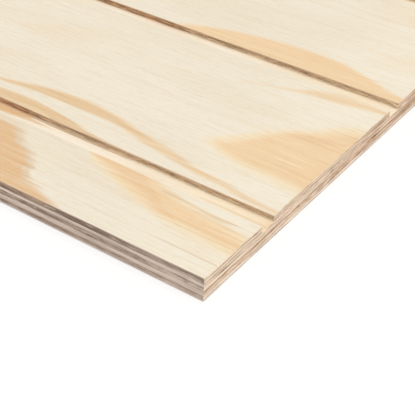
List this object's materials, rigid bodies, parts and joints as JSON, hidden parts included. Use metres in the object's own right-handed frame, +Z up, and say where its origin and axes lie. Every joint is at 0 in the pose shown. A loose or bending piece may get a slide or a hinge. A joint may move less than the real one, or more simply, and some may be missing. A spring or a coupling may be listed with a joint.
{
  "type": "grooved plywood sheet",
  "caption": "Pine plywood sheet with square grooves machined along one face, laid flat with the grooved face up.",
  "frame": {"origin": "middle of the back face, on the surface that the sheet lies on", "axes": "+X along the grooves and the face grain, +Y across the grooves away from the front long edge, +Z up out of the grooved face"},
  "size_m": [2.4, 1.2, 0.015],
  "materials": {
    "pine_plywood": "bare sanded pine veneer, cream with orange figure, and bare sawn edges that show the plies"
  },
  "bodies": {
    "root": {"grooved_plywood_sheet": "pine_plywood"}
  },
  "joints": []
}
